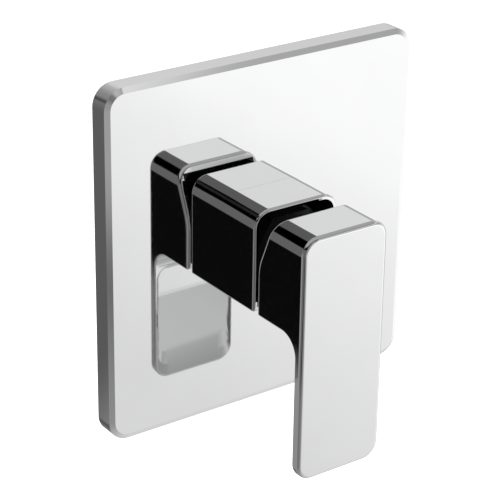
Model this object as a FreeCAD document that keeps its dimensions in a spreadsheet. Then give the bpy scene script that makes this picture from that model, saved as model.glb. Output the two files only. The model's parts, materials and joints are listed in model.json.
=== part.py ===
"""Concealed single-lever shower mixer: trim plate, handle sleeve, lever, cartridge and wall body.

The origin is on the cartridge axis, in the plane that the wall body is fixed against.
+X is right, +Z is up and the lever faces -Y, so a depth is a distance in front of the fixing plane.
"""

import FreeCAD
import Part
import Sketcher
import os
import re

# Driving dimensions in millimetres and degrees, each with what it measures
SIZES = [
    ("tile_depth", 46.0, "fixing plane to the finished wall"),
    ("overrun", 1.0, "how far a cut or a rooted end runs past its face"),
    ("running_clearance", 0.05, "radial play of turning and sliding fits"),
    ("fit_clearance", 0.02, "play of the sleeve in the plate's opening"),
    ("slip_clearance", 0.1, "play of pieces that slip together"),
    ("loose_clearance", 0.3, "air between pieces that pass each other"),
    ("plate_width", 167.0, "trim plate, side to side"),
    ("plate_height", 170.0, "trim plate, top to bottom"),
    ("plate_depth", 10.6, "trim plate, finished wall to front face"),
    ("plate_wall", 2.6, "thickness of the plate's front"),
    ("plate_rim", 2.5, "thickness of the plate's turned edge"),
    ("plate_corner", 10.0, "corner radius of the plate"),
    ("bevel_width", 2.6, "bevel round the front face, across it"),
    ("bevel_depth", 1.0, "bevel round the front face, into it"),
    ("stud_pitch", 84.0, "push studs on the plate, centre to centre"),
    ("stud_radius", 2.5, "push stud"),
    ("stud_gap", 1.2, "push stud's tip to the finished wall"),
    ("gasket_width", 4.0, "foam gasket, across the strip"),
    ("gasket_depth", 3.0, "foam gasket, along the depth"),
    ("sleeve_width", 46.0, "handle sleeve and lever, side to side"),
    ("sleeve_height", 48.6, "handle sleeve, top to bottom"),
    ("sleeve_corner", 8.2, "upper corner radius of sleeve and lever, and the paddle's lower one"),
    ("under_corner", 0.8, "corner radius along the underside of sleeve and lever"),
    ("sleeve_reach", 25.3, "plate front to the sleeve's front edge"),
    ("sleeve_wall", 2.1, "wall of the sleeve"),
    ("sleeve_edge", 1.3, "rounding of the sleeve's front edge"),
    ("sleeve_flange", 5.0, "how far the sleeve's flange stands out"),
    ("sleeve_flange_depth", 1.8, "thickness of the sleeve's flange"),
    ("boss_radius", 2.8, "screw boss beside the sleeve's flange"),
    ("boss_pitch", 28.0, "screw bosses, centre to centre in height"),
    ("sleeve_screw_radius", 1.5, "shank of a sleeve screw"),
    ("sleeve_screw_bite", 3.2, "how deep a sleeve screw goes into its boss"),
    ("sleeve_head_radius", 4.0, "head of a sleeve screw"),
    ("sleeve_head_depth", 1.6, "thickness of a sleeve screw's head"),
    ("carrier_margin", 7.0, "axis of a push stud or a carrier screw to the plate carrier's edge"),
    ("carrier_corner", 12.0, "corner radius of the plate carrier"),
    ("carrier_depth", 3.0, "thickness of the plate carrier"),
    ("carrier_gap", 0.6, "finished wall to the plate carrier"),
    ("carrier_window", 14.0, "width of the carrier's side windows"),
    ("carrier_screw_radius", 1.75, "shank of a carrier screw"),
    ("carrier_screw_bite", 10.0, "how deep a carrier screw goes into its post"),
    ("carrier_head_radius", 3.5, "head of a carrier screw"),
    ("carrier_head_depth", 1.8, "thickness of a carrier screw's head"),
    ("flange_margin", 8.0, "axis of a fixing hole to the edge of the fixing flange"),
    ("flange_depth", 5.0, "thickness of the fixing flange"),
    ("flange_corner", 8.0, "corner radius of the fixing flange"),
    ("fixing_pitch", 58.0, "fixing holes, centre to centre"),
    ("fixing_radius", 2.75, "fixing hole"),
    ("hub_radius", 23.0, "hub of the wall body"),
    ("hub_depth", 38.0, "fixing plane to the hub's front"),
    ("port_depth", 20.0, "fixing plane to the axes of the pipe ports"),
    ("port_reach", 50.0, "cartridge axis to a port's end"),
    ("port_radius", 13.5, "outside of a port"),
    ("collar_radius", 15.5, "collar round a port's end"),
    ("collar_length", 11.0, "collar round a port's end, along the port"),
    ("thread_radius", 9.3, "inside of a half-inch pipe thread"),
    ("thread_length", 14.0, "depth of a port's thread"),
    ("channel_radius", 5.5, "water channel behind a thread"),
    ("post_radius", 4.5, "screw post for the plate carrier"),
    ("post_inset", 12.0, "a port's end to the axis of a screw post"),
    ("cartridge_share", 0.85, "radius of the cartridge, as a share of its barrel's"),
    ("floor_inset", 2.6, "finished wall to the barrel's floor"),
    ("plug_length", 10.0, "threaded length of the blanking plug"),
    ("plug_head_radius", 12.0, "head of the blanking plug"),
    ("plug_head_depth", 4.0, "thickness of the blanking plug's head"),
    ("plug_key", 10.0, "blanking plug's hexagon socket, across flats"),
    ("washer_depth", 1.5, "thickness of the plug's washer"),
    ("base_depth", 6.0, "thickness of the cartridge base"),
    ("base_flange_depth", 3.0, "part of the base outside the housing"),
    ("peg_radius", 2.0, "locating peg on the cartridge base"),
    ("peg_length", 3.0, "locating peg on the cartridge base"),
    ("peg_inset", 7.5, "outside of the cartridge to its locating pegs, sideways"),
    ("peg_drop", 7.0, "locating pegs, below the axis"),
    ("inlet_inset", 7.5, "outside of the cartridge to the hot and cold passages, sideways"),
    ("inlet_rise", 4.0, "hot and cold passages, above the axis"),
    ("inlet_radius", 3.2, "hot and cold passages"),
    ("outlet_inset", 8.5, "outside of the cartridge to the mixed water passage"),
    ("outlet_radius", 3.6, "mixed water passage"),
    ("seal_wall", 1.4, "base seal, across its ring"),
    ("seal_depth", 1.8, "base seal, along the depth"),
    ("disc_depth", 4.0, "thickness of a ceramic disc"),
    ("mixing_inset", 2.9, "outside of the moving disc to its mixing hollow, sideways"),
    ("mixing_height", 11.0, "mixing hollow in the moving disc, top to bottom"),
    ("mixing_corner", 4.0, "corner radius of the mixing hollow"),
    ("mixing_depth", 2.0, "depth of the mixing hollow"),
    ("slider_depth", 4.0, "thickness of the disc carrier"),
    ("flat_inset", 2.0, "outside of the disc carrier to its guide flats"),
    ("bore_share", 0.87, "radius inside the cartridge housing, as a share of the cartridge's"),
    ("ledge_depth", 2.5, "shoulder over the guide's flange"),
    ("neck_length", 12.0, "neck of the cartridge housing"),
    ("neck_share", 0.835, "radius of the neck, as a share of the cartridge's"),
    ("guide_share", 0.685, "radius of the stem guide, as a share of the cartridge's"),
    ("guide_flange_depth", 2.0, "thickness of the stem guide's flange"),
    ("guide_rail_depth", 3.0, "rails that lead the disc carrier"),
    ("guide_inset", 0.5, "neck's front to the stem guide's front"),
    ("pivot_rise", 7.5, "guide's flange to the stem's pivot"),
    ("nut_share", 0.9, "radius of the cartridge nut's thread, as a share of the barrel's"),
    ("nut_length", 7.0, "threaded length of the cartridge nut"),
    ("nut_head_depth", 4.0, "hexagon of the cartridge nut"),
    ("nut_inset", 1.0, "outside of the barrel to the corners of the cartridge nut"),
    ("stem_share", 0.457, "side of the stem's square, as a share of the cartridge's radius"),
    ("stem_heel", 4.0, "square of the stem behind its pivot"),
    ("stem_arm", 10.6, "pivot to the stem's ball"),
    ("arm_radius", 2.2, "stem between pivot and ball"),
    ("ball_radius", 2.5, "ball that drives the disc carrier"),
    ("socket_play", 0.25, "play of the ball in its socket"),
    ("pin_radius", 1.5, "pivot pin"),
    ("pin_inset", 0.7, "outside of the stem guide to the pivot pin's end"),
    ("slot_play", 0.25, "air round the stem in the guide's slot"),
    ("tilt_angle", 25.0, "how far the lever lifts"),
    ("lever_gap", 2.3, "sleeve's front edge to the lever's back"),
    ("lever_reach", 61.6, "plate front to the lever's front"),
    ("paddle_depth", 5.0, "thickness of the paddle"),
    ("paddle_drop", 95.4, "axis to the paddle's bottom edge"),
    ("blend_radius", 10.0, "hollow curve from block to paddle"),
    ("dish_depth", 1.6, "hollow in the paddle's back"),
    ("dish_slope", 2.8, "sloping border of the hollow, across it"),
    ("dish_ramp", 12.0, "gentle slope at the lower end of the hollow"),
    ("dish_rim", 1.0, "rim round the hollow in the paddle's back"),
    ("relief_depth", 10.4, "how far the lever's back leans away at the top"),
    ("relief_round", 25.0, "where the lever's back starts to lean away"),
    ("back_round", 1.9, "rounding of the lever's back edges"),
    ("front_round", 2.0, "rounding of the paddle's front edges"),
    ("lever_wall", 3.2, "wall of the lever's block"),
    ("lever_web", 10.0, "lever's front to the hollow in its block"),
    ("socket_boss", 18.0, "boss round the lever's insert"),
    ("socket_inset", 5.0, "lever's back to its insert"),
    ("insert_side", 12.4, "lever's insert"),
    ("insert_length", 14.0, "lever's insert"),
    ("stem_end_gap", 0.5, "stem's end to the bottom of its socket"),
    ("grub_radius", 2.5, "set screw"),
    ("grub_length", 10.0, "set screw"),
    ("grub_key", 2.5, "set screw's hexagon socket, across flats"),
    ("grub_key_depth", 3.0, "set screw's hexagon socket"),
    ("cap_radius", 3.3, "cap over the set screw"),
    ("cap_depth", 3.0, "cap over the set screw"),
]

# Worked out from the sizes: radii and widths from the sleeve inwards,
# then depths in front of the fixing plane
PLACES = {
    "carrier_side": "max(stud_pitch; carrier_screw_pitch) + 2 * carrier_margin",
    "carrier_screw_pitch": "2 * (port_reach - post_inset)",
    "flange_side": "fixing_pitch + 2 * flange_margin",
    "barrel_radius": "min(sleeve_width; sleeve_height) / 2 - sleeve_wall - loose_clearance",
    "nut_radius": "barrel_radius * nut_share",
    "nut_flats": "(barrel_radius - nut_inset) * sqrt(3)",
    "cartridge_radius": "barrel_radius * cartridge_share",
    "inlet_pitch": "2 * (cartridge_radius - inlet_inset)",
    "outlet_drop": "cartridge_radius - outlet_inset",
    "peg_pitch": "2 * (cartridge_radius - peg_inset)",
    "bore_radius": "cartridge_radius * bore_share",
    "disc_radius": "bore_radius - 2 * slip_clearance",
    "neck_radius": "cartridge_radius * neck_share",
    "guide_radius": "cartridge_radius * guide_share",
    "guide_flange_radius": "bore_radius - loose_clearance",
    "pin_length": "2 * (guide_radius - pin_inset)",
    "stem_side": "cartridge_radius * stem_share",
    "slider_offset": "stem_arm * sin(tilt_angle * 1 deg) / 2",
    "slider_radius": "guide_flange_radius - slider_offset - loose_clearance",
    "slider_flats": "2 * (slider_radius - flat_inset)",
    "mixing_width": "2 * (slider_radius - mixing_inset)",
    "plate_front": "tile_depth + plate_depth",
    "plate_inside": "plate_front - plate_wall",
    "sleeve_front": "plate_front + sleeve_reach",
    "flange_back": "plate_inside - sleeve_flange_depth",
    "boss_side": "sleeve_width / 2 + sleeve_flange + boss_radius",
    "carrier_back": "tile_depth + carrier_gap",
    "carrier_front": "carrier_back + carrier_depth",
    "chamber_floor": "tile_depth - floor_inset",
    "base_front": "chamber_floor + base_depth",
    "disc_front": "base_front + disc_depth",
    "slider_back": "disc_front + running_clearance",
    "slider_middle": "slider_back + disc_depth",
    "slider_front": "slider_middle + slider_depth",
    "guide_back": "slider_front + running_clearance",
    "ledge": "guide_back + guide_flange_depth + running_clearance",
    "shoulder": "ledge + ledge_depth",
    "neck_front": "shoulder + neck_length",
    "guide_front": "neck_front - guide_inset",
    "barrel_front": "shoulder + nut_length",
    "pivot": "guide_back + guide_flange_depth + pivot_rise",
    "ball_centre": "pivot - stem_arm",
    "lever_back": "sleeve_front + lever_gap",
    "lever_front": "plate_front + lever_reach",
    "cavity_depth": "lever_front - lever_back - lever_web",
    "paddle_back": "lever_front - paddle_depth",
    "insert_back": "lever_back + socket_inset",
    "insert_front": "insert_back + insert_length",
    "grub_place": "(insert_back + insert_front) / 2",
    "stem_front": "insert_front - stem_end_gap",
}

VALUES = {alias: size for alias, size, note in SIZES}
MILLIONTH_SHARE = 1e-6

doc = FreeCAD.newDocument("ShowerMixer")
sheet = doc.addObject("Spreadsheet::Sheet", "Sheet")
for row, (alias, size, note) in enumerate(SIZES, start=1):
    sheet.set(f"A{row}", note)
    sheet.set(f"B{row}", str(size))
    sheet.setAlias(f"B{row}", alias)
doc.recompute()


def formula(text):
    """Write a formula in the sheet's cells, with the worked-out places spelled out."""

    def cell(match):
        word = match.group(0)
        if word in PLACES:
            return f"({formula(PLACES[word])})"
        if word in VALUES:
            return f"Sheet.{word}"
        return word

    return re.sub(r"[a-z_]+", cell, text)


def number(text):
    """The present value of a formula."""
    return float(sheet.evalExpression(formula(text)))


def bind(item, name, text):
    """Tie a property to the sheet."""
    item.setExpression(name, formula(text))


def minus(text):
    return f"-({text})"


def half(text):
    return f"({text}) / 2"


def new_body(label):
    body = doc.addObject("PartDesign::Body", label)
    body.Label = label
    return body


def origin_feature(body, role):
    return next(feature for feature in body.Origin.OriginFeatures if feature.Role == role)


def sketch(body, plane="XZ_Plane", rise="0"):
    """A sketch on one of the body's own planes; on XZ_Plane the rise is a depth."""
    drawing = body.newObject("Sketcher::SketchObject", f"{body.Name}_sketch")
    drawing.AttachmentSupport = (origin_feature(body, plane), [""])
    drawing.MapMode = "FlatFace"
    if rise != "0":
        bind(drawing, "AttachmentOffset.Base.z", rise)
    return drawing


def pin_point(drawing, edge, end, point):
    """Hold a point of the sketch at two formulas, or on an axis where one is zero."""
    for kind, axis, text in (("DistanceX", -2, point[0]), ("DistanceY", -1, point[1])):
        if text == "0":
            drawing.addConstraint(Sketcher.Constraint("PointOnObject", edge, end, axis))
            continue
        index = drawing.addConstraint(Sketcher.Constraint(kind, -1, 1, edge, end, number(text)))
        bind(drawing, f"Constraints[{index}]", text)


def spot(point):
    return FreeCAD.Vector(number(point[0]), number(point[1]), 0)


def set_radius(drawing, edge, radius):
    index = drawing.addConstraint(Sketcher.Constraint("Radius", edge, number(radius)))
    bind(drawing, f"Constraints[{index}]", radius)


def polygon(drawing, points):
    """A closed outline of straight lines through pinned corners."""
    first = drawing.GeometryCount
    count = len(points)
    for place in range(count):
        line = Part.LineSegment(spot(points[place]), spot(points[(place + 1) % count]))
        drawing.addGeometry(line)
    for place in range(count):
        following = first + (place + 1) % count
        drawing.addConstraint(Sketcher.Constraint("Coincident", first + place, 2, following, 1))
    for place, point in enumerate(points):
        pin_point(drawing, first + place, 1, point)


def rectangle(drawing, left, right, low, high):
    polygon(drawing, [(left, low), (right, low), (right, high), (left, high)])


def centred_square(drawing, side):
    rectangle(drawing, minus(half(side)), half(side), minus(half(side)), half(side))


def circle(drawing, radius, centre=("0", "0")):
    edge = drawing.addGeometry(Part.Circle(spot(centre), FreeCAD.Vector(0, 0, 1), number(radius)))
    pin_point(drawing, edge, 3, centre)
    set_radius(drawing, edge, radius)


def circles(drawing, radius, centres):
    for centre in centres:
        circle(drawing, radius, centre)


def hexagon(drawing, flats, centre=("0", "0")):
    """A regular hexagon with corners to the left and right."""
    corner = f"({flats}) / sqrt(3)"
    rise = half(flats)
    shares = [("1", "0"), ("0.5", "1"), ("-0.5", "1"), ("-1", "0"), ("-0.5", "-1"), ("0.5", "-1")]
    points = []
    for across_share, up_share in shares:
        across = f"{centre[0]} + ({corner}) * {across_share}"
        up = f"{centre[1]} + ({rise}) * {up_share}"
        if centre[1] == "0" and up_share == "0":
            up = "0"
        points.append((across, up))
    polygon(drawing, points)


def rounded_rectangle(drawing, width, height, corner, middle="0", low_corner=None):
    """A rectangle with round corners, centred sideways, at a given height."""
    first = drawing.GeometryCount
    quarter = FreeCAD.Units.Quantity("90 deg").getValueAs("rad").Value
    signs = [(1, 1), (-1, 1), (-1, -1), (1, -1)]
    radii = [corner, corner, low_corner or corner, low_corner or corner]
    centres = []
    for (side, up), radius in zip(signs, radii):
        across = f"(({width}) / 2 - ({radius})) * {side}"
        height_place = f"({middle}) + (({height}) / 2 - ({radius})) * {up}"
        centres.append((across, height_place))
    for turn, (centre, radius) in enumerate(zip(centres, radii)):
        round_edge = Part.Circle(spot(centre), FreeCAD.Vector(0, 0, 1), number(radius))
        drawing.addGeometry(Part.ArcOfCircle(round_edge, turn * quarter, (turn + 1) * quarter))
    for turn in range(4):
        start = drawing.Geometry[first + turn].EndPoint
        end = drawing.Geometry[first + (turn + 1) % 4].StartPoint
        drawing.addGeometry(Part.LineSegment(start, end))
    for turn in range(4):
        line = first + 4 + turn
        following = first + (turn + 1) % 4
        drawing.addConstraint(Sketcher.Constraint("Tangent", first + turn, 2, line, 1))
        drawing.addConstraint(Sketcher.Constraint("Tangent", line, 2, following, 1))
    for turn, (centre, radius) in enumerate(zip(centres, radii)):
        pin_point(drawing, first + turn, 3, centre)
        set_radius(drawing, first + turn, radius)


def sleeve_section(drawing, growth):
    """The section that sleeve and lever share, made larger or smaller all round."""
    width = f"sleeve_width + 2 * ({growth})"
    height = f"sleeve_height + 2 * ({growth})"
    low = f"max(under_corner; under_corner + ({growth}))"
    rounded_rectangle(drawing, width, height, f"sleeve_corner + ({growth})", low_corner=low)


def pad(body, drawing, length, symmetric=False, backwards=False):
    feature = body.newObject("PartDesign::Pad", f"{body.Name}_pad")
    feature.Profile = drawing
    feature.SideType = "Symmetric" if symmetric else "One side"
    feature.Reversed = backwards
    bind(feature, "Length", length)
    doc.recompute()
    return feature


def pocket(body, drawing, length, symmetric=False, forwards=False):
    """Cut against the sketch's normal, or along it, and make sure that something was cut."""
    before = body.Shape.Volume
    feature = body.newObject("PartDesign::Pocket", f"{body.Name}_pocket")
    feature.Profile = drawing
    feature.SideType = "Symmetric" if symmetric else "One side"
    feature.Reversed = forwards
    bind(feature, "Length", length)
    doc.recompute()
    if body.Shape.Volume > before * (1 - MILLIONTH_SHARE):
        raise RuntimeError(f"a pocket in {body.Label} cuts nothing")
    return feature


def revolve(body, drawing, axis):
    feature = body.newObject("PartDesign::Revolution", f"{body.Name}_turn")
    feature.Profile = drawing
    feature.ReferenceAxis = (origin_feature(body, axis), [""])
    doc.recompute()
    return feature


def edge_names(feature, wanted):
    """Names of the edges whose bounding box passes a test."""
    edges = enumerate(feature.Shape.Edges, start=1)
    return [f"Edge{index}" for index, edge in edges if wanted(edge.BoundBox)]


def at_depth(depth):
    """A test for edges that lie flat at one depth."""
    place = -number(depth)
    near = number("running_clearance")
    return lambda box: abs(box.YMin - place) < near and abs(box.YMax - place) < near


def at_height(height):
    """A test for edges that lie level at one height."""
    place = number(height)
    near = number("running_clearance")
    return lambda box: abs(box.ZMin - place) < near and abs(box.ZMax - place) < near


def fillet(body, feature, wanted, radius):
    names = edge_names(feature, wanted)
    rounded = body.newObject("PartDesign::Fillet", f"{body.Name}_round")
    rounded.Base = (feature, names)
    bind(rounded, "Radius", radius)
    doc.recompute()
    return rounded


def corners(across, up):
    """Four centres, one in each quarter."""
    return [(f"({across}) * {side}", f"({up}) * {rise}") for side in (1, -1) for rise in (1, -1)]


def passages():
    """Centres of the hot, cold and mixed water passages, each with its radius."""
    return [
        (minus(half("inlet_pitch")), "inlet_rise", "inlet_radius"),
        (half("inlet_pitch"), "inlet_rise", "inlet_radius"),
        ("0", minus("outlet_drop"), "outlet_radius"),
    ]


def pegs():
    return [(minus(half("peg_pitch")), minus("peg_drop")), (half("peg_pitch"), minus("peg_drop"))]


def carrier_posts():
    return [("0", half("carrier_screw_pitch")), ("0", minus(half("carrier_screw_pitch")))]


def make_trim_plate():
    """Pressed plate with a turned edge, a bevelled face and the sleeve's opening."""
    body = new_body("trim_plate")
    outline = sketch(body, rise="tile_depth")
    rounded_rectangle(outline, "plate_width", "plate_height", "plate_corner")
    slab = pad(body, outline, "plate_depth")
    bevel = body.newObject("PartDesign::Chamfer", "plate_bevel")
    bevel.Base = (slab, edge_names(slab, at_depth("plate_front")))
    bevel.ChamferType = "Two distances"
    bind(bevel, "Size", "bevel_depth")
    bind(bevel, "Size2", "bevel_width")
    doc.recompute()
    hollow = sketch(body, rise="tile_depth")
    inner_width = "plate_width - 2 * plate_rim"
    inner_height = "plate_height - 2 * plate_rim"
    rounded_rectangle(hollow, inner_width, inner_height, "plate_corner - plate_rim")
    pocket(body, hollow, "plate_depth - plate_wall", forwards=True)
    studs = sketch(body, rise="tile_depth + stud_gap")
    circles(studs, "stud_radius", corners(half("stud_pitch"), half("stud_pitch")))
    pad(body, studs, "plate_depth - plate_wall - stud_gap + plate_wall / 2")
    boss_places = corners("boss_side", half("boss_pitch"))
    bosses = sketch(body, rise="flange_back")
    circles(bosses, "boss_radius", boss_places)
    pad(body, bosses, "sleeve_flange_depth + plate_wall / 2")
    holes = sketch(body, rise="flange_back")
    circles(holes, "sleeve_screw_radius", boss_places)
    pocket(body, holes, "sleeve_screw_bite", forwards=True)
    opening = sketch(body, rise="plate_front + overrun")
    sleeve_section(opening, "fit_clearance")
    pocket(body, opening, "plate_wall + 2 * overrun")
    return body


def make_plate_gasket():
    body = new_body("plate_gasket")
    ring = sketch(body, rise="tile_depth")
    width = "plate_width - 2 * plate_rim"
    height = "plate_height - 2 * plate_rim"
    corner = "plate_corner - plate_rim"
    rounded_rectangle(ring, width, height, corner)
    strip = "2 * gasket_width"
    rounded_rectangle(ring, f"{width} - {strip}", f"{height} - {strip}", f"({corner}) / 2")
    pad(body, ring, "gasket_depth")
    return body


def make_plate_carrier():
    """Moulded square on the wall body that the plate's studs push into."""
    body = new_body("plate_carrier")
    outline = sketch(body, rise="carrier_back")
    rounded_rectangle(outline, "carrier_side", "carrier_side", "carrier_corner")
    circle(outline, "barrel_radius + loose_clearance")
    studs = corners(half("stud_pitch"), half("stud_pitch"))
    circles(outline, "stud_radius + running_clearance", studs)
    circles(outline, "carrier_screw_radius + running_clearance", carrier_posts())
    pad(body, outline, "carrier_depth")
    windows = sketch(body, rise="carrier_front + overrun")
    far = "carrier_side / 2 - carrier_corner"
    near = f"{far} - carrier_window"
    rise = half("stud_pitch - 2 * carrier_window")
    rectangle(windows, near, far, minus(rise), rise)
    rectangle(windows, minus(far), minus(near), minus(rise), rise)
    pocket(body, windows, "carrier_depth + 2 * overrun")
    return body


def make_carrier_screws():
    """Pan-head screws that hold the carrier on the wall body's posts."""
    body = new_body("carrier_screws")
    places = carrier_posts()
    bite = "carrier_screw_bite + carrier_depth"
    shanks = sketch(body, rise=f"carrier_front - ({bite})")
    circles(shanks, "carrier_screw_radius", places)
    pad(body, shanks, bite)
    heads = sketch(body, rise="carrier_front")
    circles(heads, "carrier_head_radius", places)
    pad(body, heads, "carrier_head_depth")
    keys = sketch(body, rise="carrier_front + carrier_head_depth")
    for place in places:
        hexagon(keys, "carrier_screw_radius", place)
    pocket(body, keys, half("carrier_head_depth"))
    return body


def make_handle_sleeve():
    """Rectangular sleeve with a flange that is held behind the plate."""
    body = new_body("handle_sleeve")
    outline = sketch(body, rise="flange_back")
    sleeve_section(outline, "0")
    tube = pad(body, outline, "sleeve_front - flange_back")
    tube = fillet(body, tube, at_depth("sleeve_front"), "sleeve_edge")
    flange = sketch(body, rise="flange_back")
    sleeve_section(flange, "sleeve_flange")
    pad(body, flange, "sleeve_flange_depth")
    inside = sketch(body, rise="sleeve_front + overrun")
    sleeve_section(inside, minus("sleeve_wall"))
    pocket(body, inside, "sleeve_front - flange_back + 2 * overrun")
    return body


def make_sleeve_screws():
    """Screws from behind, whose heads overlap the sleeve's flange."""
    body = new_body("sleeve_screws")
    places = corners("boss_side", half("boss_pitch"))
    shanks = sketch(body, rise="flange_back")
    circles(shanks, "sleeve_screw_radius", places)
    pad(body, shanks, "sleeve_screw_bite")
    heads = sketch(body, rise="flange_back")
    circles(heads, "sleeve_head_radius", places)
    pad(body, heads, "sleeve_head_depth", backwards=True)
    keys = sketch(body, rise="flange_back - sleeve_head_depth")
    for place in places:
        hexagon(keys, "sleeve_screw_radius", place)
    pocket(body, keys, half("sleeve_head_depth"), forwards=True)
    return body


def make_valve_body():
    """Brass casting in the wall: flange, hub, four pipe ports and the cartridge barrel."""
    body = new_body("valve_body")
    flange = sketch(body)
    rounded_rectangle(flange, "flange_side", "flange_side", "flange_corner")
    circles(flange, "fixing_radius", corners(half("fixing_pitch"), half("fixing_pitch")))
    pad(body, flange, "flange_depth")
    hub = sketch(body)
    circle(hub, "hub_radius")
    pad(body, hub, "hub_depth")
    barrel = sketch(body, rise="port_depth")
    circle(barrel, "barrel_radius")
    pad(body, barrel, "barrel_front - port_depth")
    across = sketch(body, "YZ_Plane")
    circle(across, "port_radius", (minus("port_depth"), "0"))
    pad(body, across, "2 * port_reach", symmetric=True)
    upright = sketch(body, "XY_Plane")
    circle(upright, "port_radius", ("0", minus("port_depth")))
    pad(body, upright, "2 * port_reach", symmetric=True)
    for side in (1, -1):
        end = f"port_reach * {side}"
        level_collar = sketch(body, "YZ_Plane", end)
        circle(level_collar, "collar_radius", (minus("port_depth"), "0"))
        pad(body, level_collar, "collar_length", backwards=side > 0)
        upright_collar = sketch(body, "XY_Plane", end)
        circle(upright_collar, "collar_radius", ("0", minus("port_depth")))
        pad(body, upright_collar, "collar_length", backwards=side > 0)
    posts = sketch(body, rise="port_depth")
    circles(posts, "post_radius", carrier_posts())
    pad(body, posts, "carrier_back - port_depth")
    cut_valve_body(body)
    return body


def cut_valve_body(body):
    """The barrel's chamber, the threads, the water channels and the small holes."""
    chamber = sketch(body, rise="barrel_front")
    circle(chamber, "cartridge_radius + running_clearance")
    pocket(body, chamber, "barrel_front - chamber_floor")
    thread = sketch(body, rise="barrel_front")
    circle(thread, "nut_radius + running_clearance")
    pocket(body, thread, "nut_length")
    for side in (1, -1):
        end = f"port_reach * {side}"
        sideways = side < 0
        inlet = sketch(body, "YZ_Plane", end)
        circle(inlet, "thread_radius", (minus("port_depth"), "0"))
        pocket(body, inlet, "thread_length", forwards=sideways)
        inlet_channel = sketch(body, "YZ_Plane", end)
        circle(inlet_channel, "channel_radius", (minus("port_depth"), "0"))
        pocket(body, inlet_channel, "port_reach - inlet_pitch / 2", forwards=sideways)
        outlet = sketch(body, "XY_Plane", end)
        circle(outlet, "thread_radius", ("0", minus("port_depth")))
        pocket(body, outlet, "thread_length", forwards=sideways)
    outlet_channel = sketch(body, "XY_Plane")
    circle(outlet_channel, "channel_radius", ("0", minus("port_depth")))
    pocket(body, outlet_channel, "2 * port_reach", symmetric=True)
    feeds = sketch(body, rise="chamber_floor")
    for across, up, radius in passages():
        circle(feeds, radius, (across, up))
    pocket(body, feeds, "chamber_floor - port_depth")
    peg_holes = sketch(body, rise="chamber_floor")
    circles(peg_holes, "peg_radius + slip_clearance", pegs())
    pocket(body, peg_holes, "peg_length + slip_clearance")
    post_holes = sketch(body, rise="carrier_back")
    circles(post_holes, "carrier_screw_radius", carrier_posts())
    pocket(body, post_holes, "carrier_screw_bite")


def make_outlet_plug():
    """Blanking plug in the lower port, with a hexagon socket."""
    body = new_body("outlet_plug")
    under_port = "port_reach + washer_depth"
    head = sketch(body, "XY_Plane", minus(under_port))
    circle(head, "plug_head_radius", ("0", minus("port_depth")))
    pad(body, head, "plug_head_depth", backwards=True)
    shank = sketch(body, "XY_Plane", minus(under_port))
    circle(shank, "thread_radius - running_clearance", ("0", minus("port_depth")))
    pad(body, shank, "plug_length")
    key = sketch(body, "XY_Plane", minus(f"{under_port} + plug_head_depth"))
    hexagon(key, "plug_key", ("0", minus("port_depth")))
    pocket(body, key, "plug_head_depth + plug_length / 2", forwards=True)
    return body


def make_plug_washer():
    body = new_body("plug_washer")
    ring = sketch(body, "XY_Plane", minus("port_reach"))
    centre = ("0", minus("port_depth"))
    circle(ring, "plug_head_radius", centre)
    circle(ring, "thread_radius + slip_clearance", centre)
    pad(body, ring, "washer_depth", backwards=True)
    return body


def make_cartridge_nut():
    """Ring nut that holds the cartridge down by its shoulder."""
    body = new_body("cartridge_nut")
    thread = sketch(body, rise="shoulder")
    circle(thread, "nut_radius")
    pad(body, thread, "nut_length")
    head = sketch(body, rise="barrel_front")
    hexagon(head, "nut_flats")
    pad(body, head, "nut_head_depth")
    hole = sketch(body, rise="barrel_front + nut_head_depth + overrun")
    circle(hole, "neck_radius + loose_clearance")
    pocket(body, hole, "nut_length + nut_head_depth + 2 * overrun")
    return body


def make_cartridge_housing():
    """Stepped shell: bore for the discs, ledge over the guide's flange, neck for the guide."""
    body = new_body("cartridge_housing")
    skirt = "chamber_floor + base_flange_depth"
    profile = sketch(body, "XY_Plane")
    polygon(profile, [
        ("bore_radius", minus(skirt)),
        ("cartridge_radius", minus(skirt)),
        ("cartridge_radius", minus("shoulder")),
        ("neck_radius", minus("shoulder")),
        ("neck_radius", minus("neck_front")),
        ("guide_radius + running_clearance", minus("neck_front")),
        ("guide_radius + running_clearance", minus("ledge")),
        ("bore_radius", minus("ledge")),
    ])
    revolve(body, profile, "Y_Axis")
    return body


def make_cartridge_base():
    """Moulded base with the three passages, the seals' seats and two locating pegs."""
    body = new_body("cartridge_base")
    flange = sketch(body, rise="chamber_floor")
    circle(flange, "cartridge_radius")
    pad(body, flange, "base_flange_depth")
    spigot = sketch(body, rise="chamber_floor")
    circle(spigot, "bore_radius - slip_clearance")
    pad(body, spigot, "base_depth")
    feet = sketch(body, rise="chamber_floor - peg_length")
    circles(feet, "peg_radius", pegs())
    pad(body, feet, "peg_length + base_depth / 2")
    ways = sketch(body, rise="base_front + overrun")
    for across, up, radius in passages():
        circle(ways, radius, (across, up))
    pocket(body, ways, "base_depth + 2 * overrun")
    seats = sketch(body, rise="chamber_floor")
    for across, up, radius in passages():
        circle(seats, f"{radius} + seal_wall", (across, up))
    pocket(body, seats, "seal_depth", forwards=True)
    return body


def make_base_seals():
    body = new_body("base_seals")
    rings = sketch(body, rise="chamber_floor")
    for across, up, radius in passages():
        circle(rings, f"{radius} + seal_wall", (across, up))
        circle(rings, radius, (across, up))
    pad(body, rings, "seal_depth")
    return body


def make_fixed_disc():
    body = new_body("fixed_disc")
    outline = sketch(body, rise="base_front")
    circle(outline, "disc_radius")
    for across, up, radius in passages():
        circle(outline, radius, (across, up))
    pad(body, outline, "disc_depth")
    return body


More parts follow.
